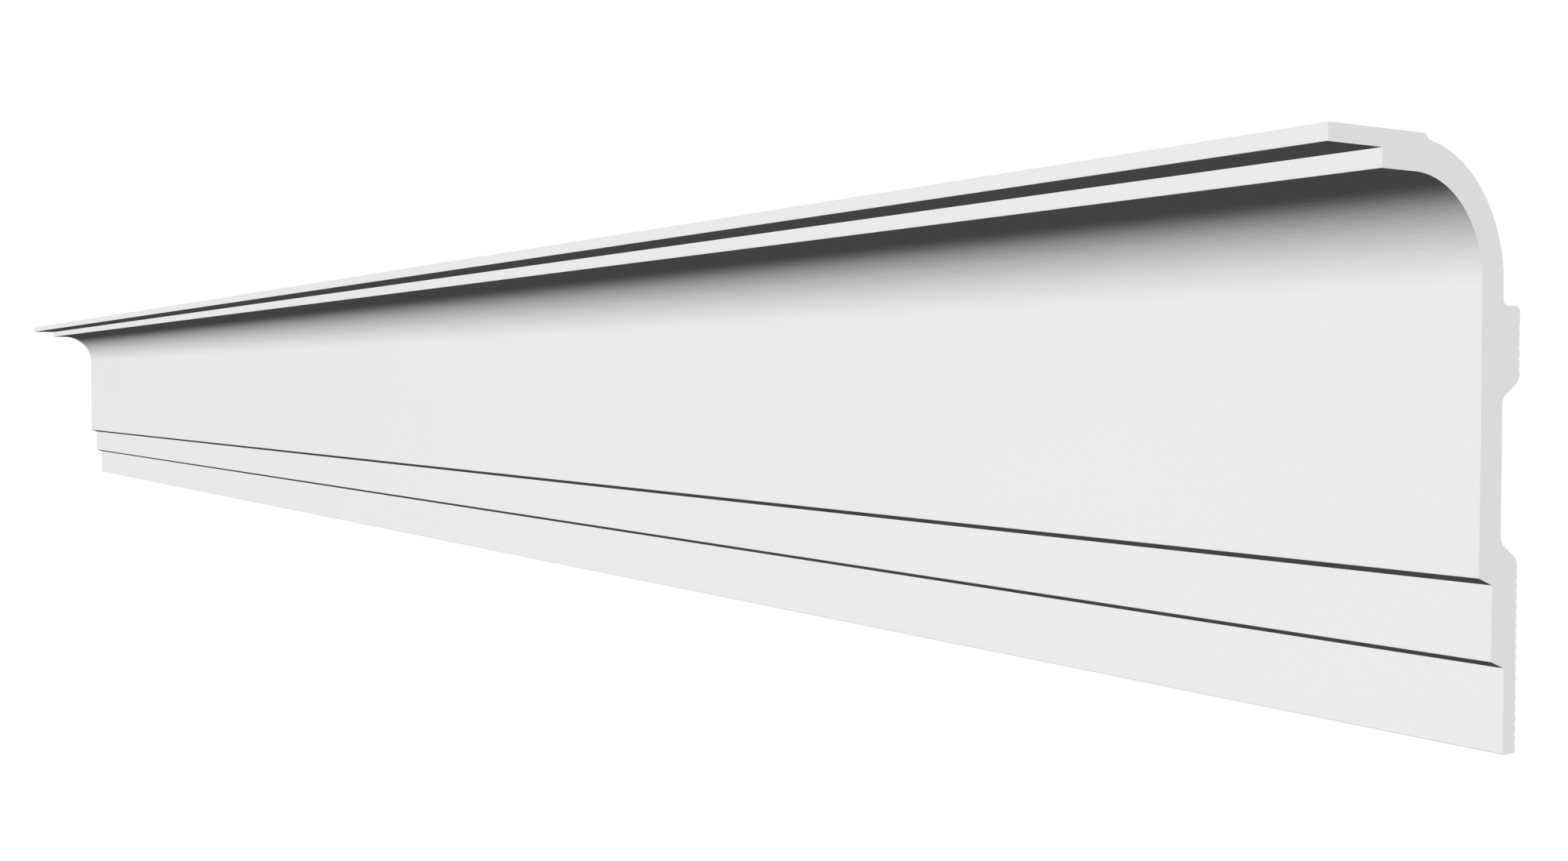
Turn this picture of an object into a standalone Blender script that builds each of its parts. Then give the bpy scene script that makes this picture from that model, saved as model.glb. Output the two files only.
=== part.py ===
"""A two metre length of cornice, also called crown moulding, for the corner of a wall and a ceiling.

It is one piece of one section throughout, cut square at both ends. The section is drawn with its first
axis across, 0 at the wall and negative into the room, and its second axis up, 0 at the bottom edge.
It is drawn out along X. The origin is then moved to the seat on the wall, halfway along.
"""

import math

import bmesh
import bpy
from mathutils import Vector
from mathutils.geometry import intersect_line_sphere_2d

NAME = "crown_moulding_length"

# The whole length, and how far it comes down the wall
LENGTH = 2.000
DROP = 0.178

# The lip against the ceiling, and the soffit between the fillet below it and the cove
LIP_HEIGHT = 0.0052
LIP_OVERHANG = 0.0219
SOFFIT_DEPTH = 0.0134

# The cove is a quarter circle, and the web behind it and the frieze keeps one thickness
COVE_RADIUS = 0.030
WEB = 0.0096

# Two fascias below the frieze, each stepped back towards the wall behind a sloping undercut
EDGE_THICKNESS = 0.0055
FASCIA_STEP = 0.0059
UNDERCUT_FALL = 0.0023
LOWER_FASCIA = 0.0276
UPPER_FASCIA = 0.0246

# The ceiling face stands proud of the back of the cove, and runs on past the end of the soffit
CEILING_PROUD = 0.0013
CEILING_OVERRUN = 0.0042

# Two pads meet the wall, and the back is hollowed between them
LOWER_PAD = 0.0569
UPPER_PAD = 0.0217
UPPER_PAD_BELOW_COVE = 0.0061
PAD_FLANK_FALL = 0.0052
PAD_FLANK_ROUND = 0.0033
PAD_TOP_ROUND = 0.0020

# Key grooves that hold the adhesive on both pads
KEY_PITCH = 0.0030
KEY_DEPTH = 0.0003
KEY_MOUTH = 0.0012
KEY_FLOOR = 0.0006

# How far a facet may stray from a true arc, the weld distance, and the least angle of a sharp arris
FACET_ERROR = 0.00002
WELD = 0.000001
ARRIS_ANGLE = math.radians(30)

# White primer
PRIMER_COLOUR = (0.87, 0.87, 0.86, 1.0)
PRIMER_ROUGHNESS = 0.6

# Levels and depths that follow from the sizes above
WALL = 0.0
LOWER_FACE = WALL - EDGE_THICKNESS
UPPER_FACE = LOWER_FACE - FASCIA_STEP
FRIEZE_FACE = UPPER_FACE - FASCIA_STEP
FRIEZE_BOTTOM = LOWER_FASCIA + UPPER_FASCIA
RECESS = FRIEZE_FACE + WEB
COVE_CENTRE = Vector((FRIEZE_FACE - COVE_RADIUS, DROP - CEILING_PROUD - WEB - COVE_RADIUS))
SOFFIT = COVE_CENTRE.y + COVE_RADIUS
FILLET_FACE = COVE_CENTRE.x - SOFFIT_DEPTH
LIP_FACE = FILLET_FACE - LIP_OVERHANG
UPPER_PAD_TOP = COVE_CENTRE.y - UPPER_PAD_BELOW_COVE
UPPER_PAD_BOTTOM = UPPER_PAD_TOP - UPPER_PAD


def arc(centre, radius, first, last):
    """Points on an arc from one angle to another, both ends included."""
    facet = 2 * math.acos(1 - FACET_ERROR / radius)
    count = math.ceil(abs(last - first) / facet)
    angles = [first + (last - first) * step / count for step in range(count + 1)]
    return [centre + radius * Vector((math.cos(angle), math.sin(angle))) for angle in angles]


def rounded(before, corner, after, radius):
    """Points of one rounded corner. Half of the shorter side limits how far it reaches."""
    back, on = before - corner, after - corner
    half_turn = (math.pi - back.angle(on)) / 2
    reach = min(radius * math.tan(half_turn), back.length / 2, on.length / 2)
    radius = reach / math.tan(half_turn)
    middle = (back.normalized() + on.normalized()).normalized()
    centre = corner + middle * math.hypot(reach, radius)
    start = corner + back.normalized() * reach - centre
    end = corner + on.normalized() * reach - centre
    first = math.atan2(start.y, start.x)
    turn = math.remainder(math.atan2(end.y, end.x) - first, math.tau)
    return arc(centre, radius, first, first + turn)


def key_levels(flank_end, far_end):
    """Levels of the grooves on a pad, laid from half a pitch past its flank while whole ones fit."""
    count = int(abs(far_end - flank_end) / KEY_PITCH)
    step = math.copysign(KEY_PITCH, far_end - flank_end)
    return [flank_end + step * (number + 0.5) for number in range(count)]


def keys(levels):
    """Points of the grooves, from the lowest up."""
    return [
        Vector((across, level + side * width / 2))
        for level in sorted(levels)
        for across, side, width in (
            (WALL, -1, KEY_MOUTH),
            (WALL - KEY_DEPTH, -1, KEY_FLOOR),
            (WALL - KEY_DEPTH, 1, KEY_FLOOR),
            (WALL, 1, KEY_MOUTH),
        )
    ]


def face_outline():
    """What the room sees, from the ceiling down to the bottom edge."""
    return [
        Vector((LIP_FACE, DROP)),
        Vector((LIP_FACE, DROP - LIP_HEIGHT)),
        Vector((FILLET_FACE, DROP - LIP_HEIGHT)),
        Vector((FILLET_FACE, SOFFIT)),
        *arc(COVE_CENTRE, COVE_RADIUS, math.radians(90), 0),
        Vector((FRIEZE_FACE, FRIEZE_BOTTOM)),
        Vector((UPPER_FACE, FRIEZE_BOTTOM - UNDERCUT_FALL)),
        Vector((UPPER_FACE, LOWER_FASCIA)),
        Vector((LOWER_FACE, LOWER_FASCIA - UNDERCUT_FALL)),
        Vector((LOWER_FACE, 0)),
    ]


def back_of_cove():
    """The back of the web, round from the recess to where the ceiling face's shoulder comes down on it."""
    shoulder = Vector((COVE_CENTRE.x + CEILING_OVERRUN, DROP))
    slope_end = shoulder + Vector((COVE_RADIUS, -COVE_RADIUS))
    meetings = intersect_line_sphere_2d(shoulder, slope_end, COVE_CENTRE, COVE_RADIUS + WEB, False)
    foot = min(meetings, key=lambda meeting: (meeting - shoulder).length) - COVE_CENTRE
    return [*arc(COVE_CENTRE, COVE_RADIUS + WEB, 0, math.atan2(foot.y, foot.x)), shoulder]


def back_outline():
    """The back from the bottom edge up to the ceiling, and the level of the seat on the wall."""
    bottom = Vector((WALL, 0))
    pad_end = Vector((WALL, LOWER_PAD))
    hollow_start = Vector((RECESS, LOWER_PAD + PAD_FLANK_FALL))
    hollow_end = Vector((RECESS, UPPER_PAD_BOTTOM - PAD_FLANK_FALL))
    pad_start = Vector((WALL, UPPER_PAD_BOTTOM))
    pad_top = Vector((WALL, UPPER_PAD_TOP))
    shelf = Vector((RECESS, UPPER_PAD_TOP))

    lower_end = rounded(bottom, pad_end, hollow_start, PAD_FLANK_ROUND)
    upper_start = rounded(hollow_end, pad_start, pad_top, PAD_FLANK_ROUND)
    upper_end = rounded(pad_start, pad_top, shelf, PAD_TOP_ROUND)
    lower_keys = key_levels(lower_end[0].y, bottom.y)
    upper_keys = key_levels(upper_start[-1].y, upper_end[0].y)
    # The seat is the middle of the plain land between two grooves, halfway up the lower pad
    seat = lower_end[0].y - KEY_PITCH * (len(lower_keys) // 2)
    points = [
        bottom,
        *keys(lower_keys),
        *lower_end,
        *rounded(pad_end, hollow_start, hollow_end, PAD_FLANK_ROUND),
        *rounded(hollow_start, hollow_end, pad_start, PAD_FLANK_ROUND),
        *upper_start,
        *keys(upper_keys),
        *upper_end,
        *rounded(pad_top, shelf, Vector((RECESS, COVE_CENTRE.y)), PAD_TOP_ROUND),
        *back_of_cove(),
    ]
    return points, seat


def drawn_out(name, outline, length):
    """A closed outline drawn out to a length, as much to either side, as a flat curve does."""
    curve = bpy.data.curves.new(name, "CURVE")
    curve.dimensions = "2D"
    curve.fill_mode = "BOTH"
    curve.extrude = length / 2
    spline = curve.splines.new("POLY")
    spline.points.add(len(outline) - 1)
    for point, place in zip(spline.points, outline):
        point.co = (place.x, place.y, 0, 1)
    spline.use_cyclic_u = True
    return bpy.data.objects.new(name, curve)


def made_solid(flat_curve, collection):
    """The curve as one mesh with its ends welded on, smooth round the cove and sharp at each arris."""
    collection.objects.link(flat_curve)
    bpy.context.view_layer.update()
    depsgraph = bpy.context.evaluated_depsgraph_get()
    mesh = bpy.data.meshes.new_from_object(flat_curve.evaluated_get(depsgraph))
    mesh.name = flat_curve.name
    shell = bmesh.new()
    shell.from_mesh(mesh)
    bmesh.ops.remove_doubles(shell, verts=shell.verts, dist=WELD)
    shell.to_mesh(mesh)
    shell.free()
    mesh.shade_smooth()
    mesh.set_sharp_from_angle(angle=ARRIS_ANGLE)
    bpy.data.objects.remove(flat_curve)
    solid = bpy.data.objects.new(mesh.name, mesh)
    collection.objects.link(solid)
    return solid


def white_primer():
    """The factory's matt white primer."""
    material = bpy.data.materials.new("white_primer")
    material.use_nodes = True
    shader = material.node_tree.nodes["Principled BSDF"]
    shader.inputs["Base Color"].default_value = PRIMER_COLOUR
    shader.inputs["Roughness"].default_value = PRIMER_ROUGHNESS
    shader.inputs["Metallic"].default_value = 0.0
    material.diffuse_color = PRIMER_COLOUR
    return material


def main():
    for leftover in list(bpy.data.objects):
        bpy.data.objects.remove(leftover)
    collection = bpy.data.collections.new(NAME)
    bpy.context.scene.collection.children.link(collection)

    back, seat = back_outline()
    cornice = made_solid(drawn_out(NAME, face_outline() + back, LENGTH), collection)
    # The section's first axis turns to Y, its second to Z and its depth to X
    cornice.rotation_euler = (math.radians(90), 0, math.radians(90))
    cornice.location.z = -seat
    cornice.data.materials.append(white_primer())


main()
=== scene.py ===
# %% [markdown]
# # A two metre length of cornice
#
# This lesson dresses one part: a straight length of cornice, the moulding that closes the corner
# between a wall and a ceiling. The real one is most likely a foamed polymer with a factory coat of
# white primer. The part has already been modelled as a plain solid. That solid is the frame of this
# scene: it fixes the place and the size of everything here, and it never moves.
#
# Here the length is drawn again, with softened arrises and rounded pads and grooves, and it gets its
# three finishes: the primed face, the bare back and the sawn ends.

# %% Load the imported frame
import math

import bmesh
import bpy
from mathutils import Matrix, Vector


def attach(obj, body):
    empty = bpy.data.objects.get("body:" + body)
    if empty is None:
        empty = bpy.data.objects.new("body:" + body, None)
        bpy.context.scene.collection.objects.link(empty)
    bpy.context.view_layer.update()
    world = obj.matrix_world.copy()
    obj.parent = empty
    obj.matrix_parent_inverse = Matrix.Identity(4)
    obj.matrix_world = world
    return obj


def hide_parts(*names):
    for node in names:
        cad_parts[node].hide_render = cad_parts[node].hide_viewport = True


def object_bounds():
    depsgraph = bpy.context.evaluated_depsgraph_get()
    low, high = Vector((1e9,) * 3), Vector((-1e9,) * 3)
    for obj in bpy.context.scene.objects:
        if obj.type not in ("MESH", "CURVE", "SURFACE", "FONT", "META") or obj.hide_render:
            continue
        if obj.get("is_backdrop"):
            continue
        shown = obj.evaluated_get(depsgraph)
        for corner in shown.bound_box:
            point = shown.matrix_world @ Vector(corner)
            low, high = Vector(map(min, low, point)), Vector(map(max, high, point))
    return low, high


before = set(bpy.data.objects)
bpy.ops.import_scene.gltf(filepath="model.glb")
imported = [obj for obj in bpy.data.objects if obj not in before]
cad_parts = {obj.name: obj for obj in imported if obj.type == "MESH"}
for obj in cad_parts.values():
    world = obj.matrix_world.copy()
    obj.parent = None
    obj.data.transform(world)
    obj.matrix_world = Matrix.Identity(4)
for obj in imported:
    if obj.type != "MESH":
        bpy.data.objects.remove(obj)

CAD_NODE = "crown_moulding_length"
cad_low, cad_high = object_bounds()
print("the solid's box in mm", [round(side * 1000, 2) for side in cad_high - cad_low])

# %% [markdown]
# ## Where the camera stands
#
# The photograph looks along the length from just past the near end, so the far end shrinks to a
# quarter of the near one. Nobody noted where the camera stood. It could be moved about by eye until
# the picture fits. It is surer to solve for it from the object itself, because every long arris is
# straight and level in the real thing: in the picture those lines run towards one point, and that
# point gives the direction of the length. The corners of the two ends give the rest. The values
# below were found in that way, and a plain lens without any shift is enough. Its near limit is
# short, so that the camera can also be moved close to an arris.

# %% Camera
LENS = 40.573
SENSOR_WIDTH = 36.0
NEAR_LIMIT = 0.02
CAMERA_PLACE = (1.3234, -0.4565, 0.07885)
CAMERA_TURN = (88.589, -0.108, 57.897)

camera_data = bpy.data.cameras.new("photograph")
camera_data.lens = LENS
camera_data.sensor_width = SENSOR_WIDTH
camera_data.clip_start = NEAR_LIMIT
camera = bpy.data.objects.new("photograph", camera_data)
camera.location = CAMERA_PLACE
camera.rotation_euler = [math.radians(angle) for angle in CAMERA_TURN]
bpy.context.scene.collection.objects.link(camera)
bpy.context.scene.camera = camera
past_the_end, before_the_lip = CAMERA_PLACE[0] - cad_high.x, cad_low.y - CAMERA_PLACE[1]
print("camera", round(past_the_end, 3), "m past the near end,", round(before_the_lip, 3), "m before the lip")

# %% [markdown]
# ## The sizes of the section
#
# A moulding is one section drawn out along a line, so nearly all its sizes are sizes of the section.
# "Across" is 0 on the wall and negative into the room. "Up" is 0 on the bottom edge. The length, the
# drop and the level of the origin are read from the frame, where they are right already. The rest
# are the sizes that the solid was made with, said again in metres, because a box can't tell them.

# %% Section sizes
LENGTH = cad_high.x - cad_low.x
DROP = cad_high.z - cad_low.z
ORIGIN_LEVEL = -cad_low.z

LIP_HEIGHT = 0.0052
LIP_OVERHANG = 0.0219
SOFFIT_DEPTH = 0.0134
CEILING_PROUD = 0.0013
COVE_RADIUS = 0.030
WEB = 0.0096

EDGE_THICKNESS = 0.0055
FASCIA_STEP = 0.0059
UNDERCUT_FALL = 0.0023
LOWER_FASCIA = 0.0276
UPPER_FASCIA = 0.0246

LOWER_FACE = -EDGE_THICKNESS
UPPER_FACE = LOWER_FACE - FASCIA_STEP
FRIEZE_FACE = UPPER_FACE - FASCIA_STEP
FRIEZE_BOTTOM = LOWER_FASCIA + UPPER_FASCIA
COVE_CENTRE = (FRIEZE_FACE - COVE_RADIUS, DROP - CEILING_PROUD - WEB - COVE_RADIUS)
SOFFIT = COVE_CENTRE[1] + COVE_RADIUS
FILLET_FACE = COVE_CENTRE[0] - SOFFIT_DEPTH
LIP_FACE = FILLET_FACE - LIP_OVERHANG
print("lip face", round(LIP_FACE * 1000, 2), "mm, and the solid's", round(cad_low.y * 1000, 2), "mm")

# %% [markdown]
# ## A pen for the section
#
# A moulding plane or a die has a profile that runs straight, turns, and runs straight again. The
# profile could be typed in as a list of points, or drawn as a curve with handles. Here it is drawn
# the way it is measured, stroke by stroke, so that each size of the section is used in one place.
# `extrude_vert_indiv` pulls a new point out of the last one and leaves an edge between them, which
# is a straight stroke. `spin` carries the last point round a centre and leaves an arc of short
# edges, so the cove comes out as a true quarter circle.
#
# The strokes of an arc are marked in an edge layer named "round". The mark travels with the edges,
# and later it tells which faces to shade smooth. A second layer, on the points, will say how much
# each one gets rubbed. Both are made before the first point, because a layer that is added later
# makes Blender forget the points that a script is holding.

# %% Pen strokes
WIDEST_FACET = math.radians(1.25)
QUARTER_TURN = math.radians(90)

section = bmesh.new()
round_mark = section.edges.layers.int.new("round")
rubbed = section.verts.layers.float.new("rubbed")


def put_down(across, up):
    """The pen's first point."""
    return section.verts.new((0, across, up))


def pull_to(last, across, up):
    """A straight stroke from the last point."""
    pulled = bmesh.ops.extrude_vert_indiv(section, verts=[last])["verts"][0]
    pulled.co = (0, across, up)
    return pulled


def turn_about(last, centre, angle):
    """An arc from the last point round a centre. A positive angle turns from across towards up."""
    already = set(section.edges)
    spun = bmesh.ops.spin(
        section, geom=[last], cent=(0, *centre), axis=(1, 0, 0), angle=angle,
        steps=math.ceil(abs(angle) / WIDEST_FACET), use_merge=False, use_duplicate=False,
    )
    for edge in set(section.edges) - already:
        edge[round_mark] = 1
    return next(part for part in spun["geom_last"] if isinstance(part, bmesh.types.BMVert))


print("a quarter circle takes", math.ceil(QUARTER_TURN / WIDEST_FACET), "strokes")

# %% [markdown]
# ## The face that the room sees
#
# From the ceiling down: a thin lip, a level soffit back to the fillet, a second soffit, the cove,
# the plain frieze, and two fascias that each step back towards the wall behind a sloping undercut.
# The undercuts look down, where little light comes from, and so they draw the two dark lines along
# the length in the photograph. They are part of the shape, so they are modelled and not painted.

# %% Face of the section
pen = first_point = put_down(LIP_FACE, DROP)
for across, up in (
    (LIP_FACE, DROP - LIP_HEIGHT),
    (FILLET_FACE, DROP - LIP_HEIGHT),
    (FILLET_FACE, SOFFIT),
    (COVE_CENTRE[0], SOFFIT),
):
    pen = pull_to(pen, across, up)
pen = turn_about(pen, COVE_CENTRE, -QUARTER_TURN)
print("the cove ends", round(pen.co.y * 1000, 2), "mm, the frieze lies", round(FRIEZE_FACE * 1000, 2), "mm")
for across, up in (
    (FRIEZE_FACE, FRIEZE_BOTTOM),
    (UPPER_FACE, FRIEZE_BOTTOM - UNDERCUT_FALL),
    (UPPER_FACE, LOWER_FASCIA),
    (LOWER_FACE, LOWER_FASCIA - UNDERCUT_FALL),
    (LOWER_FACE, 0),
    (0, 0),
):
    pen = pull_to(pen, across, up)
print(len(section.verts), "points down the face")

# %% [markdown]
# ## Where the keys go
#
# Behind, two pads meet the wall and the web is hollowed out between them, which saves material and
# leaves room for surplus adhesive. Fine grooves run along both pads. They are keys: the adhesive
# fills them and holds on.
#
# Grooves could be left to a bump pattern, but they notch the outline of the near end, and a bump
# never changes an outline. So they are modelled. They are laid out from the pad's flank: its round
# takes up some of the land, the first groove lies half a pitch further on, and then there is one at
# every pitch while whole ones fit.

# %% Levels of the pads and their keys
LOWER_PAD = 0.0569
UPPER_PAD = 0.0217
UPPER_PAD_BELOW_COVE = 0.0061
PAD_FLANK_FALL = 0.0052
PAD_FLANK_ROUND = 0.0033
PAD_TOP_ROUND = 0.0020
KEY_PITCH = 0.0030

RECESS = FRIEZE_FACE + WEB
UPPER_PAD_TOP = COVE_CENTRE[1] - UPPER_PAD_BELOW_COVE
UPPER_PAD_BOTTOM = UPPER_PAD_TOP - UPPER_PAD
FLANK_TURN = math.atan2(-RECESS, PAD_FLANK_FALL)
FLANK_REACH = PAD_FLANK_ROUND * math.tan(FLANK_TURN / 2)


def key_levels(flank_end, far_end):
    """Levels of the grooves on a land, from the lowest up."""
    count = int(abs(far_end - flank_end) / KEY_PITCH)
    step = math.copysign(KEY_PITCH, far_end - flank_end)
    return sorted(flank_end + step * (number + 0.5) for number in range(count))


lower_keys = key_levels(LOWER_PAD - FLANK_REACH, 0)
upper_keys = key_levels(UPPER_PAD_BOTTOM + FLANK_REACH, UPPER_PAD_TOP - PAD_TOP_ROUND)
print(len(lower_keys), "keys on the lower pad and", len(upper_keys), "on the upper one")

# %% [markdown]
# ## The pads and their keys
#
# One groove is four short strokes: along the land to its mouth, in, along the floor, and out. The
# corners that get a larger round of their own are kept by name, and the points of the grooves in a
# list.

# %% Pads of the section
KEY_DEPTH = 0.0003
KEY_MOUTH = 0.0012
KEY_FLOOR = 0.0006
key_points = []


def cut_key(last, level):
    """One key groove, drawn from its lower lip to its upper one."""
    for across, up in (
        (0, level - KEY_MOUTH / 2),
        (-KEY_DEPTH, level - KEY_FLOOR / 2),
        (-KEY_DEPTH, level + KEY_FLOOR / 2),
        (0, level + KEY_MOUTH / 2),
    ):
        last = pull_to(last, across, up)
        key_points.append(last)
    return last


for level in lower_keys:
    pen = cut_key(pen, level)
pen = lower_pad_end = pull_to(pen, 0, LOWER_PAD)
pen = hollow_foot = pull_to(pen, RECESS, LOWER_PAD + PAD_FLANK_FALL)
pen = hollow_head = pull_to(pen, RECESS, UPPER_PAD_BOTTOM - PAD_FLANK_FALL)
pen = upper_pad_start = pull_to(pen, 0, UPPER_PAD_BOTTOM)
for level in upper_keys:
    pen = cut_key(pen, level)
pen = upper_pad_end = pull_to(pen, 0, UPPER_PAD_TOP)
pen = shelf_corner = pull_to(pen, RECESS, UPPER_PAD_TOP)
print(len(key_points) // 4, "key grooves, and a hollow", round(-RECESS * 1000, 2), "mm deep")

# %% [markdown]
# ## The back of the cove
#
# Foam sets evenly only where it is evenly thick, so the back of the cove keeps the thickness of the
# web. It is an arc about the same centre. It runs until it meets a short slope at 45 degrees, which
# comes down from the end of the ceiling face. A boolean could find that meeting, but one
# right-angled triangle does it exactly: the slope's line passes the centre at a known distance, and
# the arc's radius is the long side. Then the outline is closed and filled with one flat face.

# %% Back of the cove, and the close of the section
CEILING_OVERRUN = 0.0042
SLOPE = math.radians(45)
BACK_RADIUS = COVE_RADIUS + WEB

shoulder_across = COVE_CENTRE[0] + CEILING_OVERRUN
passing = (CEILING_OVERRUN + DROP - COVE_CENTRE[1]) * math.cos(SLOPE)
meeting_angle = SLOPE + math.acos(passing / BACK_RADIUS)
pen = pull_to(pen, RECESS, COVE_CENTRE[1])
pen = turn_about(pen, COVE_CENTRE, meeting_angle)
pen = pull_to(pen, shoulder_across, DROP)
section.edges.new((pen, first_point))
bmesh.ops.contextual_create(section, geom=section.edges[:])
print("the back turns", round(math.degrees(meeting_angle), 2), "degrees")
print("section of", round(sum(face.calc_area() for face in section.faces) * 1e6, 1), "square mm")

# %% [markdown]
# ## Rounding the corners
#
# No real arris is a perfect line. The die leaves a fifth of a millimetre of round on each one that
# stands out, and the light catches it. Inner corners stay as keen as the die cut them, which keeps
# the dark lines under the fascias thin and even. The pads have larger rounds of their own, because
# foam fills badly round a hard corner, and the corners of the key grooves are softened least.
#
# A Bevel modifier on the finished solid could round them, but it would give all of them one width.
# `bevel` with affect VERTICES cuts single corners of the flat section, so each kind can have its
# own. Its offset is measured along the strokes, so a radius is first turned into an offset, with
# the tangent of half the turn. A corner that is cut never moves outwards, so the box stays the same.

# %% A helper that rounds corners
def turn_at(point):
    """How far the outline turns at a point, as an angle."""
    one, other = (edge.other_vert(point).co - point.co for edge in point.link_edges)
    return math.pi - one.angle(other)


def round_off(corners, radius, segments):
    """Rounds corners of the section, marks their short strokes and returns the new points."""
    made = []
    for corner in corners:
        cut = bmesh.ops.bevel(
            section, geom=[corner], offset=radius * math.tan(turn_at(corner) / 2), offset_type="OFFSET",
            affect="VERTICES", segments=segments, profile=0.5, material=-1, clamp_overlap=False,
        )["verts"]
        for edge in {edge for point in cut for edge in point.link_edges}:
            if set(edge.verts) <= set(cut):
                edge[round_mark] = 1
        made += cut
    return made


print("the outline turns", round(math.degrees(turn_at(first_point))), "degrees at the lip's top corner")

# %% [markdown]
# ## Telling the corners apart
#
# An outer arris gets touched and brushed each time the length is carried, and an inner corner never
# does. They could be picked by hand, but the outline itself knows: take the turn from the stroke
# that comes in to the one that goes out, always the same way round, and it is positive on one kind
# and negative on the other. Corners that turn by less than 15 degrees are only the joints between
# strokes of an arc. The new points of the outer arrises get a 1 in the "rubbed" layer.

# %% Find the outer arrises and round each kind
ARRIS_RADIUS = 0.0002
ARRIS_SEGMENTS = 4
PAD_SEGMENTS = 10
KEY_RADIUS = 0.0001
KEY_SEGMENTS = 2
LEAST_TURN = math.radians(15)


def stands_out(point):
    """True where the solid sticks out, by the way in which the outline turns."""
    loop = point.link_loops[0]
    into = point.co - loop.link_loop_prev.vert.co
    out = loop.link_loop_next.vert.co - point.co
    return into.cross(out).dot(loop.face.normal) > 0


section.normal_update()
flank_corners = [lower_pad_end, hollow_foot, hollow_head, upper_pad_start]
top_corners = [upper_pad_end, shelf_corner]
taken = {*flank_corners, *top_corners, *key_points}
corners = [point for point in section.verts if point not in taken and turn_at(point) > LEAST_TURN]
arrises = [corner for corner in corners if stands_out(corner)]
inner_count = len(corners) - len(arrises)
for point in round_off(arrises, ARRIS_RADIUS, ARRIS_SEGMENTS):
    point[rubbed] = 1.0
round_off(flank_corners, PAD_FLANK_ROUND, PAD_SEGMENTS)
round_off(top_corners, PAD_TOP_ROUND, PAD_SEGMENTS)
round_off(key_points, KEY_RADIUS, KEY_SEGMENTS)
print(len(arrises), "outer arrises,", inner_count, "inner corners,", len(section.verts), "points now")

# %% [markdown]
# ## Points that hold the rubbing in
#
# The rubbed look has to fade out within a millimetre and a half of an arris. A mask that lives on
# points can only change between points, so each long stroke gets one close to every rubbed end.
# Dividing all the strokes evenly would do it too, at the cost of thousands of faces. `edge_split`
# cuts one stroke at a share of its length, measured from the end that it is given, and the points
# that the script holds stay valid.

# %% Holding points beside the arrises
FADE = 0.0015

before = len(section.verts)
for end in [point for point in section.verts if point[rubbed]]:
    stroke = max(end.link_edges, key=lambda edge: edge.calc_length())
    if stroke.calc_length() > 2 * FADE:
        _, holding = bmesh.utils.edge_split(stroke, end, FADE / stroke.calc_length())
        holding[rubbed] = 0.0
print(len(section.verts) - before, "holding points")

# %% [markdown]
# ## Drawing the section out
#
# A cornice is made by pushing or pouring one section into a long, straight shape. A flat curve with
# a depth would draw it out as well, but a curve drops the marks on its edges. So it is an extrusion:
# `extrude_face_region` copies the flat face and joins the two with walls, and a move carries the
# copy to the far end. Where a wall grew out of a round stroke it is shaded smooth. The walls of
# straight strokes stay flat, and so do the two ends, which look along the length.
#
# Before that, the section moves so that the origin comes to lie halfway along, on the wall, at the
# level that the frame gives it.

# %% Extrude, and shade each wall as its stroke was drawn
LOOKS_ALONG = 0.9

bmesh.ops.translate(section, verts=section.verts, vec=(-LENGTH / 2, 0, -ORIGIN_LEVEL))
outline = list(section.edges)
drawn = bmesh.ops.extrude_face_region(section, geom=section.faces[:])
far_points = [part for part in drawn["geom"] if isinstance(part, bmesh.types.BMVert)]
bmesh.ops.translate(section, verts=far_points, vec=(LENGTH, 0, 0))
moulding = section
bmesh.ops.recalc_face_normals(moulding, faces=moulding.faces)
for stroke in outline:
    for wall in stroke.link_faces:
        wall.smooth = bool(stroke[round_mark]) and abs(wall.normal.x) < LOOKS_ALONG
print(len(moulding.faces), "faces,", sum(face.smooth for face in moulding.faces), "of them smooth")

# %% [markdown]
# ## Cutting the walls across
#
# A wall two metres long and a tenth of a millimetre wide makes needle-shaped triangles, which upset
# both shading and file formats. Joining ready-made short lengths would leave a doubled rim at each
# joint. `bisect_plane` cuts the whole length at a station without changing its shape or its marks.
# The stations stand 100 mm apart, with one more just inside each end, where the rubbing of the end's
# rim has to stop.

# %% Stations along the length
STATION = 0.100
HAIRLINE = 0.0000001

stations = [STATION * number - LENGTH / 2 for number in range(1, round(LENGTH / STATION))]
stations += [FADE - LENGTH / 2, LENGTH / 2 - FADE]
for station in stations:
    bmesh.ops.bisect_plane(
        moulding, geom=moulding.verts[:] + moulding.edges[:] + moulding.faces[:], dist=HAIRLINE,
        plane_co=(station, 0, 0), plane_no=(1, 0, 0),
    )
print(len(stations), "stations,", len(moulding.faces), "faces")

# %% [markdown]
# ## Which finish goes where
#
# The primer is sprayed from the front, so it covers what the spray can reach: the lip, both soffits,
# the cove, the frieze, the fascias and the bottom edge. The back and the top keep the skin of the
# foam. The ends are sawn after painting and show what is inside.
#
# In the editor one would select the faces and press Assign. In a script the direction that a face
# looks in is enough to tell the three apart. The rims of the ends are rubbed wherever they touch
# paint, so their points get a 1 as well.

# %% Give each face its finish
PRIMED, BARE, SAWN = range(3)
LOOKS_DOWN = 0.9
SPRAY_REACHES = 0.2


def finish_of(face):
    """The finish of a face, from the way it looks. The room is towards negative Y."""
    if abs(face.normal.x) > LOOKS_ALONG:
        return SAWN
    if face.normal.y < -SPRAY_REACHES or face.normal.z < -LOOKS_DOWN:
        return PRIMED
    return BARE


for face in moulding.faces:
    face.material_index = finish_of(face)
for point in moulding.verts:
    on_the_rim = abs(point.co.x) > LENGTH / 2 - FADE / 2
    if on_the_rim and any(face.material_index == PRIMED for face in point.link_faces):
        point[rubbed] = 1.0
for finish, title in ((PRIMED, "primed"), (BARE, "bare"), (SAWN, "sawn")):
    print(title, sum(face.material_index == finish for face in moulding.faces), "faces")

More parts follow.
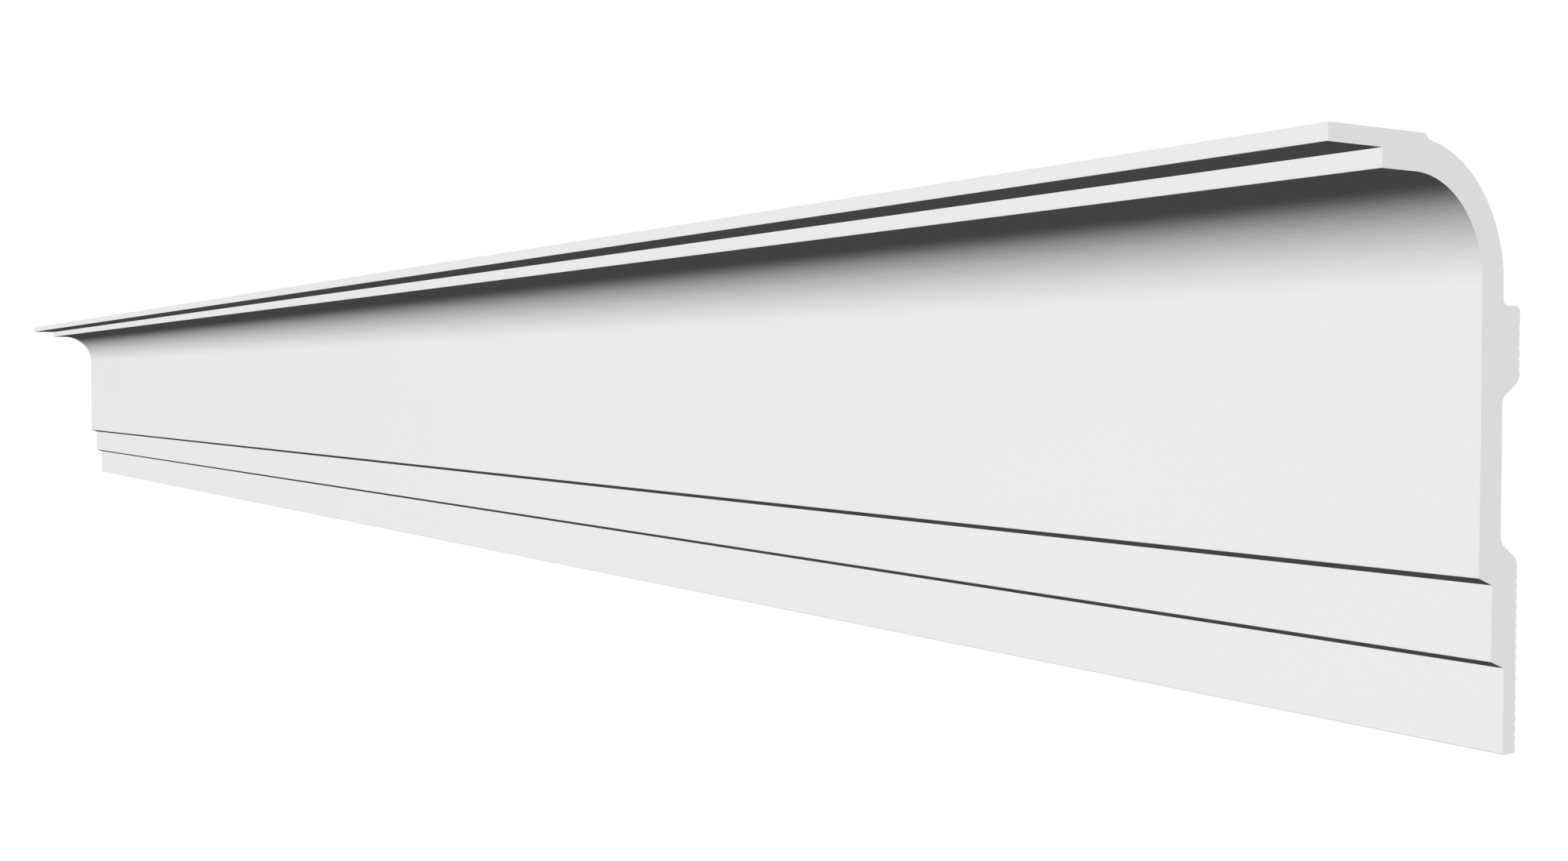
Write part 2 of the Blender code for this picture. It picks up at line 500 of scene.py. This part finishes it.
# %% [markdown]
# ## Where the shading has to break
#
# A smooth face takes its shading from its corner points, and a point that it shares with a flat wall
# carries an average of the two. That shows as a bright band beside every round. An angle limit would
# break the shading only at the steeper joins. Here each edge that touches a flat face is marked to
# break it, so the flats look flat right up to the round.
#
# The two ends are single faces with hundreds of corners. They are cut into triangles here, so that
# every program that reads the model later finds them cut in the same way.

# %% Break the shading beside flat faces, and cut the ends into triangles
ends = [face for face in moulding.faces if face.material_index == SAWN]
bmesh.ops.triangulate(moulding, faces=ends, quad_method="BEAUTY", ngon_method="BEAUTY")
for edge in moulding.edges:
    edge.smooth = all(face.smooth for face in edge.link_faces)
moulding_volume = moulding.calc_volume()
open_edges = sum(not edge.is_manifold for edge in moulding.edges)
print(open_edges, "open edges, and a volume of", round(moulding_volume * 1e6), "cubic cm")

# %% [markdown]
# ## The mesh becomes a piece of the object
#
# The dressed length takes the place of the plain solid. Two calls do so: the piece rides on the body of the
# part, and the solid is hidden. The object stays at the origin, unturned, because the place of the length is
# already in its mesh.

# %% The cornice
mesh = bpy.data.meshes.new("cornice")
moulding.to_mesh(mesh)
moulding.free()
cornice = bpy.data.objects.new("cornice", mesh)
bpy.context.scene.collection.objects.link(cornice)
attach(cornice, "root")
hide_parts(CAD_NODE)
print(sum(len(polygon.vertices) - 2 for polygon in mesh.polygons), "triangles")

# %% [markdown]
# ## Building materials by script
#
# A material is a small factory: coordinates go in, patterns come out, and they meet in the shader.
# It could be wired by hand in the Shader Editor, or read from a picture file. By script, every value
# can be read and changed here, and nothing gets blurred when the camera comes close.
#
# `wire` gives each named input of a node a number or another node's output, `put` adds a node and
# wires it, and `reckon` does one sum. All patterns read Object coordinates. The piece sits unturned
# at the origin, so those are simply metres, and the size of a grain is written as its true size.

# %% Helpers for node trees
def wire(tree, node, wiring):
    """Gives each named input of a node a value, or the output of another node."""
    for name, value in wiring.items():
        if isinstance(value, bpy.types.NodeSocket):
            tree.links.new(value, node.inputs[name])
        else:
            node.inputs[name].default_value = value
    return node


def put(tree, kind, wiring=None, **settings):
    """Adds a node to a tree. Settings are the node's own, and wiring names its inputs."""
    made = tree.nodes.new(kind)
    for name, value in settings.items():
        setattr(made, name, value)
    return wire(tree, made, wiring or {})


def reckon(tree, operation, one, other):
    """The result of one sum."""
    return put(tree, "ShaderNodeMath", {0: one, 1: other}, operation=operation).outputs[0]


print("three helpers: wire, put and reckon")

# %% [markdown]
# ## Node groups
#
# The three finishes share some effects, such as a grain or a drift in tone, each with values of its
# own. Copying the nodes into every material would work until one of the copies is changed. A node
# group is built once and placed where it is needed, and its named sockets say what can be set.
#
# A group that stands for real relief gives its pattern twice: as a tone that leans between -1 and 1, and as
# a height in metres. `give_relief` makes both from a pattern that lies around one half. Where that tone goes
# into a colour, the low parts of the relief come out darker and the high parts lighter, which is painted
# shade and light.

# %% Helpers for node groups
NUMBER, PLACE, COLOUR = "NodeSocketFloat", "NodeSocketVector", "NodeSocketColor"
POSITION = ("Position", PLACE, (0.0, 0.0, 0.0))
MIDDLE = 0.5


def new_group(name, inputs, outputs):
    """An empty node group, with the outputs of its input node, and its output node."""
    tree = bpy.data.node_groups.new(name, "ShaderNodeTree")
    for title, kind, default in inputs:
        tree.interface.new_socket(title, in_out="INPUT", socket_type=kind).default_value = default
    for title, kind in outputs:
        tree.interface.new_socket(title, in_out="OUTPUT", socket_type=kind)
    return tree, put(tree, "NodeGroupInput").outputs, put(tree, "NodeGroupOutput")


def give_relief(tree, result, pattern, depth):
    """Sends a pattern out as a height in metres and as a tone."""
    leaning = reckon(tree, "SUBTRACT", pattern, MIDDLE)
    height = reckon(tree, "MULTIPLY", leaning, depth)
    wire(tree, result, {"Height": height, "Tone": reckon(tree, "DIVIDE", leaning, MIDDLE)})


def place(tree, group, wiring):
    """Puts a node group in a material and returns its outputs."""
    return put(tree, "ShaderNodeGroup", wiring, node_tree=group).outputs


print("a group's sockets carry", NUMBER, PLACE, "or", COLOUR)

# %% [markdown]
# ## Lines along the length
#
# Everything that leaves a die carries the die's tiny scratches with it, as lines along its whole
# length. Thousands of real grooves would be far too many faces, and a wave pattern would be too
# regular. A noise that is read slowly along X and quickly across gives lines of uneven spacing,
# which start and fade like real ones.

# %% Node group: drawn lines
drawn_lines, given, result = new_group(
    "drawn lines",
    [POSITION, ("Spacing", NUMBER, 0.001), ("Run", NUMBER, 0.3), ("Depth", NUMBER, 0.00001)],
    [("Height", NUMBER), ("Tone", NUMBER)],
)
axes = put(drawn_lines, "ShaderNodeSeparateXYZ", {0: given["Position"]}).outputs
stretched = put(drawn_lines, "ShaderNodeCombineXYZ", {
    0: reckon(drawn_lines, "DIVIDE", axes[0], given["Run"]),
    1: reckon(drawn_lines, "DIVIDE", axes[1], given["Spacing"]),
    2: reckon(drawn_lines, "DIVIDE", axes[2], given["Spacing"]),
}).outputs[0]
scratches = put(drawn_lines, "ShaderNodeTexNoise", {
    "Vector": stretched, "Scale": 1.0, "Detail": 2.0, "Roughness": 0.6,
}).outputs[0]
give_relief(drawn_lines, result, scratches, given["Depth"])
print("group", drawn_lines.name, "with", len(drawn_lines.nodes), "nodes")

# %% [markdown]
# ## The stipple of sprayed paint
#
# Spray lands as droplets that run together and never quite level out. The surface is left with a
# soft stipple about a millimetre across, like the peel of a fruit. Round cells would make it look
# like hammered metal, so it is one soft noise with a little detail, read evenly in all directions.

# %% Node group: paint stipple
paint_stipple, given, result = new_group(
    "paint stipple",
    [POSITION, ("Size", NUMBER, 0.001), ("Depth", NUMBER, 0.00001)],
    [("Height", NUMBER), ("Tone", NUMBER)],
)
droplets = put(paint_stipple, "ShaderNodeTexNoise", {
    "Vector": given["Position"], "Scale": reckon(paint_stipple, "DIVIDE", 1.0, given["Size"]),
    "Detail": 3.0, "Roughness": 0.45,
}).outputs[0]
give_relief(paint_stipple, result, droplets, given["Depth"])
print("group", paint_stipple.name, "with", len(paint_stipple.nodes), "nodes")

# %% [markdown]
# ## A slow drift in tone
#
# No coat is equally thick from end to end. The eye doesn't see the difference as such, but it does
# miss it: a surface without it looks drawn. A gradient from end to end would be seen as one. This
# noise changes over a hand's breadth, and about three times as slowly along the length, as the
# spray gun moved.

# %% Node group: slow drift
GUN_STRETCH = (0.35, 1.0, 1.0)

slow_drift, given, result = new_group(
    "slow drift", [POSITION, ("Reach", NUMBER, 0.1)], [("Tone", NUMBER)]
)
along_the_gun = put(slow_drift, "ShaderNodeVectorMath", {
    0: given["Position"], 1: GUN_STRETCH,
}, operation="MULTIPLY").outputs[0]
clouds = put(slow_drift, "ShaderNodeTexNoise", {
    "Vector": along_the_gun, "Scale": reckon(slow_drift, "DIVIDE", 1.0, given["Reach"]),
    "Detail": 2.0, "Roughness": 0.5,
}).outputs[0]
leaning = reckon(slow_drift, "SUBTRACT", clouds, MIDDLE)
wire(slow_drift, result, {"Tone": reckon(slow_drift, "DIVIDE", leaning, MIDDLE)})
print("group", slow_drift.name, "with", len(slow_drift.nodes), "nodes")

# %% [markdown]
# ## The cells of the foam
#
# The polymer is foamed while it is soft, and sets full of closed bubbles, from a few tenths of a millimetre
# to a whole one wide. On a sawn end the saw opens them to small pits, and on the bare back they show through
# the skin as faint dimples. A noise has no single pits. A cell texture gives each bubble a centre and the
# distance from it, which makes a round pit that is deepest in the middle. The pit's floor and rim lie at set
# shares of a bubble's size. Where the group's tone goes into a colour, each pit is painted darker towards
# its middle and lighter at its rim, which is painted shade in the pit.

# %% Node group: foam cells
PIT_FLOOR, PIT_RIM = 0.1, 0.6

foam_cells, given, result = new_group(
    "foam cells",
    [POSITION, ("Size", NUMBER, 0.0006), ("Depth", NUMBER, 0.00001)],
    [("Height", NUMBER), ("Tone", NUMBER)],
)
bubbles = put(foam_cells, "ShaderNodeTexVoronoi", {
    "Vector": given["Position"], "Scale": reckon(foam_cells, "DIVIDE", 1.0, given["Size"]),
}).outputs["Distance"]
pits = put(foam_cells, "ShaderNodeMapRange", {
    "Value": bubbles, "From Min": PIT_FLOOR, "From Max": PIT_RIM,
}, interpolation_type="SMOOTHSTEP").outputs[0]
give_relief(foam_cells, result, pits, given["Depth"])
print("group", foam_cells.name, "with", len(foam_cells.nodes), "nodes")

# %% [markdown]
# ## Turning a tone into a colour
#
# A Mix node between two colours would need a second colour for every effect. This group lightens or
# darkens one colour by a tone, times a strength. A strength of 0.01 is one part in a hundred, which
# is about what a new coat of white shows.

# %% Node group: tinted
tinted, given, result = new_group(
    "tinted",
    [("Colour", COLOUR, (0.8, 0.8, 0.8, 1.0)), ("Tone", NUMBER, 0.0), ("Strength", NUMBER, 0.01)],
    [("Colour", COLOUR)],
)
change = reckon(tinted, "MULTIPLY", given["Tone"], given["Strength"])
scaled = put(tinted, "ShaderNodeVectorMath", {
    0: given["Colour"], "Scale": reckon(tinted, "ADD", change, 1.0),
}, operation="SCALE").outputs[0]
wire(tinted, result, {"Colour": scaled})
print("group", tinted.name, "with", len(tinted.nodes), "nodes")

# %% [markdown]
# ## Where hands have been
#
# The "rubbed" layer is 1 on the outer arrises and on the rims of the ends, and fades to 0 beside
# them. Used as it is, it would draw an even stripe. Rubbing isn't even, so a noise breaks the stripe
# up: the mask keeps only what stands above it. A material then polishes the paint there a little and
# greys it by a hair.

# %% Node group: handled arris
FULLY_RUBBED = 0.35

handled_arris, given, result = new_group(
    "handled arris",
    [POSITION, ("Rubbed", NUMBER, 0.0), ("Patch", NUMBER, 0.008)],
    [("Mask", NUMBER)],
)
patches = put(handled_arris, "ShaderNodeTexNoise", {
    "Vector": given["Position"], "Scale": reckon(handled_arris, "DIVIDE", 1.0, given["Patch"]),
    "Detail": 4.0,
}).outputs[0]
mask = put(handled_arris, "ShaderNodeMapRange", {
    "Value": reckon(handled_arris, "SUBTRACT", given["Rubbed"], patches),
    "From Min": 0.0, "From Max": FULLY_RUBBED,
}, interpolation_type="SMOOTHSTEP").outputs[0]
wire(handled_arris, result, {"Mask": mask})
print("group", handled_arris.name, "with", len(handled_arris.nodes), "nodes")

# %% [markdown]
# ## How every material starts
#
# All three finishes are matt and all are read from the same coordinates, so they start alike. Matt
# doesn't mean dead: a weak, wide sheen is left, and that is a plain value on the shader. Heights
# meet in a Bump node. Its distance is 1 m, so a height in metres tilts the shading by just as much
# as a real surface of that height would.

# %% Helpers for materials
SHEEN = 0.1


def start_material(name):
    """A new material. Returns it with its tree, its shader and the position on the piece."""
    material = bpy.data.materials.new(name)
    material.use_nodes = True
    tree = material.node_tree
    shader = wire(tree, tree.nodes["Principled BSDF"], {"Specular IOR Level": SHEEN})
    return material, tree, shader, put(tree, "ShaderNodeTexCoord").outputs["Object"]


def tint(tree, colour, tone, strength):
    """A colour after one more tone."""
    return place(tree, tinted, {"Colour": colour, "Tone": tone, "Strength": strength})["Colour"]


def roughen(tree, roughness, tone, strength):
    """A roughness after one more tone. A strength below 0 polishes."""
    return reckon(tree, "ADD", reckon(tree, "MULTIPLY", tone, strength), roughness)


def dent(tree, height):
    """The normal of a surface with this height."""
    return put(tree, "ShaderNodeBump", {"Strength": 1.0, "Distance": 1.0, "Height": height}).outputs[0]


print("sheen", SHEEN, "on every finish")

# %% [markdown]
# ## The primed face
#
# White primer is a neutral white that sends back about 87 parts of light in a hundred. One flat
# colour would match the photograph too, but only from where it was taken: up close, the real coat
# has stipple from the spray and lines from the die under it. All of it is slight. The lines rise
# less than a hundredth of a millimetre and the stipple less than two, the drift is one part in a
# hundred, and the rubbed arrises are two parts greyer. From across a room all this reads as plain
# white, which is how the photograph shows it.

# %% Material: primed face
PRIMER_WHITE = (0.87, 0.87, 0.87, 1.0)
PRIMER_ROUGHNESS = 0.72

primed, tree, shader, position = start_material("primed_face")
lines = place(tree, drawn_lines, {"Position": position, "Spacing": 0.0011, "Run": 0.35, "Depth": 0.000014})
stipple = place(tree, paint_stipple, {"Position": position, "Size": 0.0013, "Depth": 0.000035})
drift = place(tree, slow_drift, {"Position": position, "Reach": 0.09})
rubbed_here = put(tree, "ShaderNodeAttribute", attribute_name="rubbed").outputs["Fac"]
hands = place(tree, handled_arris, {"Position": position, "Rubbed": rubbed_here})

white = tint(tree, PRIMER_WHITE, drift["Tone"], strength=0.012)
# painted shade and light: the white is darkened in the stipple's hollows and lightened on its rises,
# following its height
white = tint(tree, white, stipple["Tone"], strength=0.008)
white = tint(tree, white, hands["Mask"], strength=-0.02)
matt = roughen(tree, PRIMER_ROUGHNESS, lines["Tone"], strength=0.06)
matt = roughen(tree, matt, hands["Mask"], strength=-0.14)
relief = dent(tree, reckon(tree, "ADD", lines["Height"], stipple["Height"]))
wire(tree, shader, {"Base Color": white, "Roughness": matt, "Normal": relief})
mesh.materials.append(primed)
print("material", primed.name, "with", len(tree.nodes), "nodes")

# %% [markdown]
# ## Paint that drifted round the edges
#
# The back never sees the spray gun, but some spray always drifts round an edge. It lies over the
# last few millimetres beside the bottom edge and the lip, and breaks up into specks further in. A
# hand-painted mask could show it. Here it is the distance from the nearer of the two edges, and a
# fine noise roughens its border.

# %% Node group: spray drift
FULLY_COVERED = 0.25

spray_drift, given, result = new_group(
    "spray drift",
    [POSITION, ("Reach", NUMBER, 0.007), ("Speck", NUMBER, 0.0011)],
    [("Mask", NUMBER)],
)
axes = put(spray_drift, "ShaderNodeSeparateXYZ", {0: given["Position"]}).outputs
from_bottom = reckon(spray_drift, "ADD", axes[2], ORIGIN_LEVEL)
from_lip = reckon(spray_drift, "SUBTRACT", axes[1], LIP_FACE)
from_edge = reckon(spray_drift, "MINIMUM", from_bottom, from_lip)
share_of_reach = reckon(spray_drift, "DIVIDE", from_edge, given["Reach"])
thinned = reckon(spray_drift, "MULTIPLY", share_of_reach, MIDDLE)
specks = put(spray_drift, "ShaderNodeTexNoise", {
    "Vector": given["Position"], "Scale": reckon(spray_drift, "DIVIDE", 1.0, given["Speck"]),
    "Detail": 5.0, "Roughness": 0.7,
}).outputs[0]
covered = put(spray_drift, "ShaderNodeMapRange", {
    "Value": reckon(spray_drift, "SUBTRACT", specks, thinned),
    "From Min": 0.0, "From Max": FULLY_COVERED,
}, interpolation_type="SMOOTHSTEP").outputs[0]
wire(spray_drift, result, {"Mask": covered})
print("group", spray_drift.name, "with", len(spray_drift.nodes), "nodes")

# %% [markdown]
# ## The bare back
#
# Behind the paint's edge lies the skin of the foam itself: a slightly warmer, chalkier white, with stronger
# die lines than the paint lets through and the faint dimples of the cells under it. The colour of the skin
# is darkened in the grooves of the lines and the middles of the dimples, and lightened between them, which
# is painted shade and light on that relief. It could have shared the primer's material, but whoever turns
# the length over sees at once that the back isn't painted. So it has its own, and where spray has drifted it
# takes on the primer's white and its lower roughness.

# %% Material: bare back
SKIN_WHITE = (0.845, 0.842, 0.822, 1.0)
SKIN_ROUGHNESS = 0.78

bare, tree, shader, position = start_material("bare_back")
lines = place(tree, drawn_lines, {"Position": position, "Spacing": 0.0008, "Run": 0.5, "Depth": 0.00003})
cells = place(tree, foam_cells, {"Position": position, "Size": 0.0009, "Depth": 0.000025})
drift = place(tree, slow_drift, {"Position": position, "Reach": 0.06})
spray = place(tree, spray_drift, {"Position": position})["Mask"]

skin = tint(tree, SKIN_WHITE, drift["Tone"], strength=0.035)
# painted shade: the skin is darkened in the middle of each cell's dimple, following its depth
skin = tint(tree, skin, cells["Tone"], strength=0.015)
# painted shade and light: the skin is darkened in the grooves of the die lines and lightened on their ridges
skin = tint(tree, skin, lines["Tone"], strength=0.03)
both = put(tree, "ShaderNodeMix", {"Factor": spray, "A": skin, "B": PRIMER_WHITE}, data_type="RGBA")
chalky = roughen(tree, SKIN_ROUGHNESS, lines["Tone"], strength=0.08)
chalky = roughen(tree, chalky, spray, strength=PRIMER_ROUGHNESS - SKIN_ROUGHNESS)
relief = dent(tree, reckon(tree, "ADD", lines["Height"], cells["Height"]))
wire(tree, shader, {"Base Color": both.outputs["Result"], "Roughness": chalky, "Normal": relief})
mesh.materials.append(bare)
print("material", bare.name, "mixes", both.inputs["A"].type, "and gives", both.outputs["Result"].type)

# %% [markdown]
# ## The marks of the saw
#
# A saw blade leaves shallow arcs, one for each tooth that stands out a little, all about the blade's
# centre. A wave texture would space them evenly, as no blade does. Their distance from the centre is
# all that counts, so a noise in one dimension, read at that distance, gives arcs of uneven spacing.
# The distance is measured in the plane of the cut, which leaves out what lies along the length.

# %% Node group: saw arcs
IN_THE_CUT = (0.0, 1.0, 1.0)

saw_arcs, given, result = new_group(
    "saw arcs",
    [POSITION, ("Blade", PLACE, (0.0, 0.0, 0.2)), ("Spacing", NUMBER, 0.001), ("Depth", NUMBER, 0.00001)],
    [("Height", NUMBER), ("Tone", NUMBER)],
)
arm = put(saw_arcs, "ShaderNodeVectorMath", {
    0: given["Position"], 1: given["Blade"],
}, operation="SUBTRACT").outputs[0]
flat_arm = put(saw_arcs, "ShaderNodeVectorMath", {
    0: arm, 1: IN_THE_CUT,
}, operation="MULTIPLY").outputs[0]
radius = put(saw_arcs, "ShaderNodeVectorMath", {0: flat_arm}, operation="LENGTH").outputs["Value"]
teeth = put(saw_arcs, "ShaderNodeTexNoise", {
    "W": reckon(saw_arcs, "DIVIDE", radius, given["Spacing"]),
    "Scale": 1.0, "Detail": 3.0, "Roughness": 0.65,
}, noise_dimensions="1D").outputs[0]
give_relief(saw_arcs, result, teeth, given["Depth"])
print("group", saw_arcs.name, "with", len(saw_arcs.nodes), "nodes")

# %% [markdown]
# ## The sawn ends
#
# The ends show the foam inside: a hair greyer than the paint, with the arcs of the saw and, between them,
# the cells that it opened. They could be cut into the mesh, at a cost of many thousand faces. The opened
# cells are also painted darker towards their middles, which is painted shade in the pits.
# The photograph gives this face one even tone, so both stay shallow and a tilt of the shading is
# enough.

# %% Material: sawn end
FOAM_WHITE = (0.864, 0.864, 0.861, 1.0)
FOAM_ROUGHNESS = 0.75
BLADE_CENTRE = (0.0, -0.16, 0.21)

sawn, tree, shader, position = start_material("sawn_end")
cells = place(tree, foam_cells, {"Position": position, "Size": 0.0004, "Depth": 0.000009})
drift = place(tree, slow_drift, {"Position": position, "Reach": 0.03})
arcs = place(tree, saw_arcs, {
    "Position": position, "Blade": BLADE_CENTRE, "Spacing": 0.0009, "Depth": 0.00003,
})

# painted shade: the foam is darkened in the middle of each opened cell, following the pit's depth
foam = tint(tree, FOAM_WHITE, cells["Tone"], strength=0.012)
foam = tint(tree, foam, drift["Tone"], strength=0.01)
open_grain = roughen(tree, FOAM_ROUGHNESS, cells["Tone"], strength=0.05)
relief = dent(tree, reckon(tree, "ADD", arcs["Height"], cells["Height"]))
wire(tree, shader, {"Base Color": foam, "Roughness": open_grain, "Normal": relief})
mesh.materials.append(sawn)
print("finishes on the piece", [material.name for material in mesh.materials])

# %% [markdown]
# ## A floor that isn't seen as one
#
# The photograph has no floor line, no shadow and no edge of a backdrop: everything round the object
# is white. A white floor under real lamps would never come out as even as that. So the floor is a
# wide, pale sheet well below the length, which gives off just the white of the backdrop. Only the
# camera sees it, so it lights nothing. The length is made to hang on a wall, and touches nothing
# here. From below the sheet is clear, so that the undersides of the length can be looked at too.

# %% Floor
FLOOR_LEVEL = -0.8
FLOOR_HALF = 60.0
BACKDROP_LEVEL = 1.02
WHITE_LIGHT = (1.0, 1.0, 1.0, 1.0)

floor_mesh = bpy.data.meshes.new("floor")
sheet = bmesh.new()
bmesh.ops.create_grid(sheet, x_segments=1, y_segments=1, size=FLOOR_HALF)
bmesh.ops.translate(sheet, verts=sheet.verts, vec=(0, 0, FLOOR_LEVEL))
sheet.to_mesh(floor_mesh)
sheet.free()
floor = bpy.data.objects.new("floor", floor_mesh)
bpy.context.scene.collection.objects.link(floor)
floor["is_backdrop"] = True

pale = bpy.data.materials.new("pale_floor")
pale.use_nodes = True
tree = pale.node_tree
tree.nodes.clear()
underside = put(tree, "ShaderNodeNewGeometry").outputs["Backfacing"]
glow = put(tree, "ShaderNodeEmission", {"Color": WHITE_LIGHT, "Strength": BACKDROP_LEVEL}).outputs[0]
clear = put(tree, "ShaderNodeBsdfTransparent").outputs[0]
sides = put(tree, "ShaderNodeMixShader", {0: underside, 1: glow, 2: clear}).outputs[0]
put(tree, "ShaderNodeOutputMaterial", {"Surface": sides})
pale.cycles.emission_sampling = "NONE"
floor_mesh.materials.append(pale)
floor.visible_diffuse = floor.visible_glossy = floor.visible_shadow = False
print("the floor lies", FLOOR_LEVEL, "m from the origin")

# %% [markdown]
# ## Lamps
#
# The tones of the photograph are very regular: every face that looks into the room has the same
# light grey, the end a slightly darker one, and everything that looks down one even dark grey,
# without a single cast shadow. A ring of soft boxes would grade every face. One distant lamp gives
# each direction one tone, and with its shadow off it gives just this picture. The cove runs through
# all the tones between, and the lamp's direction was worked out from them.
#
# A second distant lamp stands behind, on the far side. No face that the camera sees looks towards
# it, so the main picture doesn't change, but the back, the top and the far end are lit for whoever
# walks round the object.

# %% Two distant lamps
FRONT_TOWARDS = Vector((0.591, -0.710, 0.383))
FRONT_STRENGTH = 3.99
FRONT_SPREAD = math.radians(15)
BACK_TOWARDS = Vector((-0.55, 0.80, 0.23))
BACK_STRENGTH = 3.2
BACK_SPREAD = math.radians(8)


def distant_lamp(name, towards, strength, spread, casts_shadow):
    """A lamp so far away that its light comes from one direction."""
    light = bpy.data.lights.new(name, "SUN")
    light.energy = strength
    light.angle = spread
    light.use_shadow = casts_shadow
    lamp = bpy.data.objects.new(name, light)
    lamp.rotation_euler = towards.to_track_quat("Z", "Y").to_euler()
    bpy.context.scene.collection.objects.link(lamp)


distant_lamp("front lamp", FRONT_TOWARDS, FRONT_STRENGTH, FRONT_SPREAD, False)
distant_lamp("back lamp", BACK_TOWARDS, BACK_STRENGTH, BACK_SPREAD, True)
elevation = math.degrees(math.asin(FRONT_TOWARDS.normalized().z))
print("the front lamp stands", round(elevation), "degrees above the horizon")

# %% [markdown]
# ## Light from all round
#
# What looks away from the lamp still gets a little even light, about a sixteenth of full white. That
# is the surroundings. They have no bright spots, so the renderer needn't search them for any. The
# camera has to see them as the white backdrop, though, so a Light Path node gives camera rays the
# backdrop's level and all other rays the weak one. White walls close to each other would also throw
# light into each other's corners. The photograph shows none of that, so the length is hidden from
# its own bounced light.

# %% Surroundings
AROUND = 0.0612

world = bpy.data.worlds.new("studio")
bpy.context.scene.world = world
world.use_nodes = True
tree = world.node_tree
tree.nodes.clear()
seen = put(tree, "ShaderNodeLightPath").outputs["Is Camera Ray"]
level = put(tree, "ShaderNodeMix", {"Factor": seen, "A": AROUND, "B": BACKDROP_LEVEL}).outputs[0]
around = put(tree, "ShaderNodeBackground", {"Color": WHITE_LIGHT, "Strength": level}).outputs[0]
put(tree, "ShaderNodeOutputWorld", {"Surface": around})
world.cycles.sampling_method = "NONE"
cornice.visible_diffuse = cornice.visible_glossy = False
bpy.context.scene.view_settings.view_transform = "Standard"
print("surroundings", AROUND, "and", BACKDROP_LEVEL, "for the camera")

# %% [markdown]
# ## Does it still fit the solid?
#
# The dressed length has to fill the same box as the solid, and nearly the same volume: only the rounded
# corners and the finer arcs may make a difference. The ratio of the volumes and how much wider the new box
# is than the solid's are printed.

# %% Compare with the solid and finish
solid = bmesh.new()
solid.from_mesh(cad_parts[CAD_NODE].data)
print("volume against the solid's", round(moulding_volume / solid.calc_volume(), 5))
solid.free()

low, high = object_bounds()
wider = [round(side * 1e6, 2) for side in (high - low) - (cad_high - cad_low)]
print("wider than the solid's box by", wider, "micrometres")
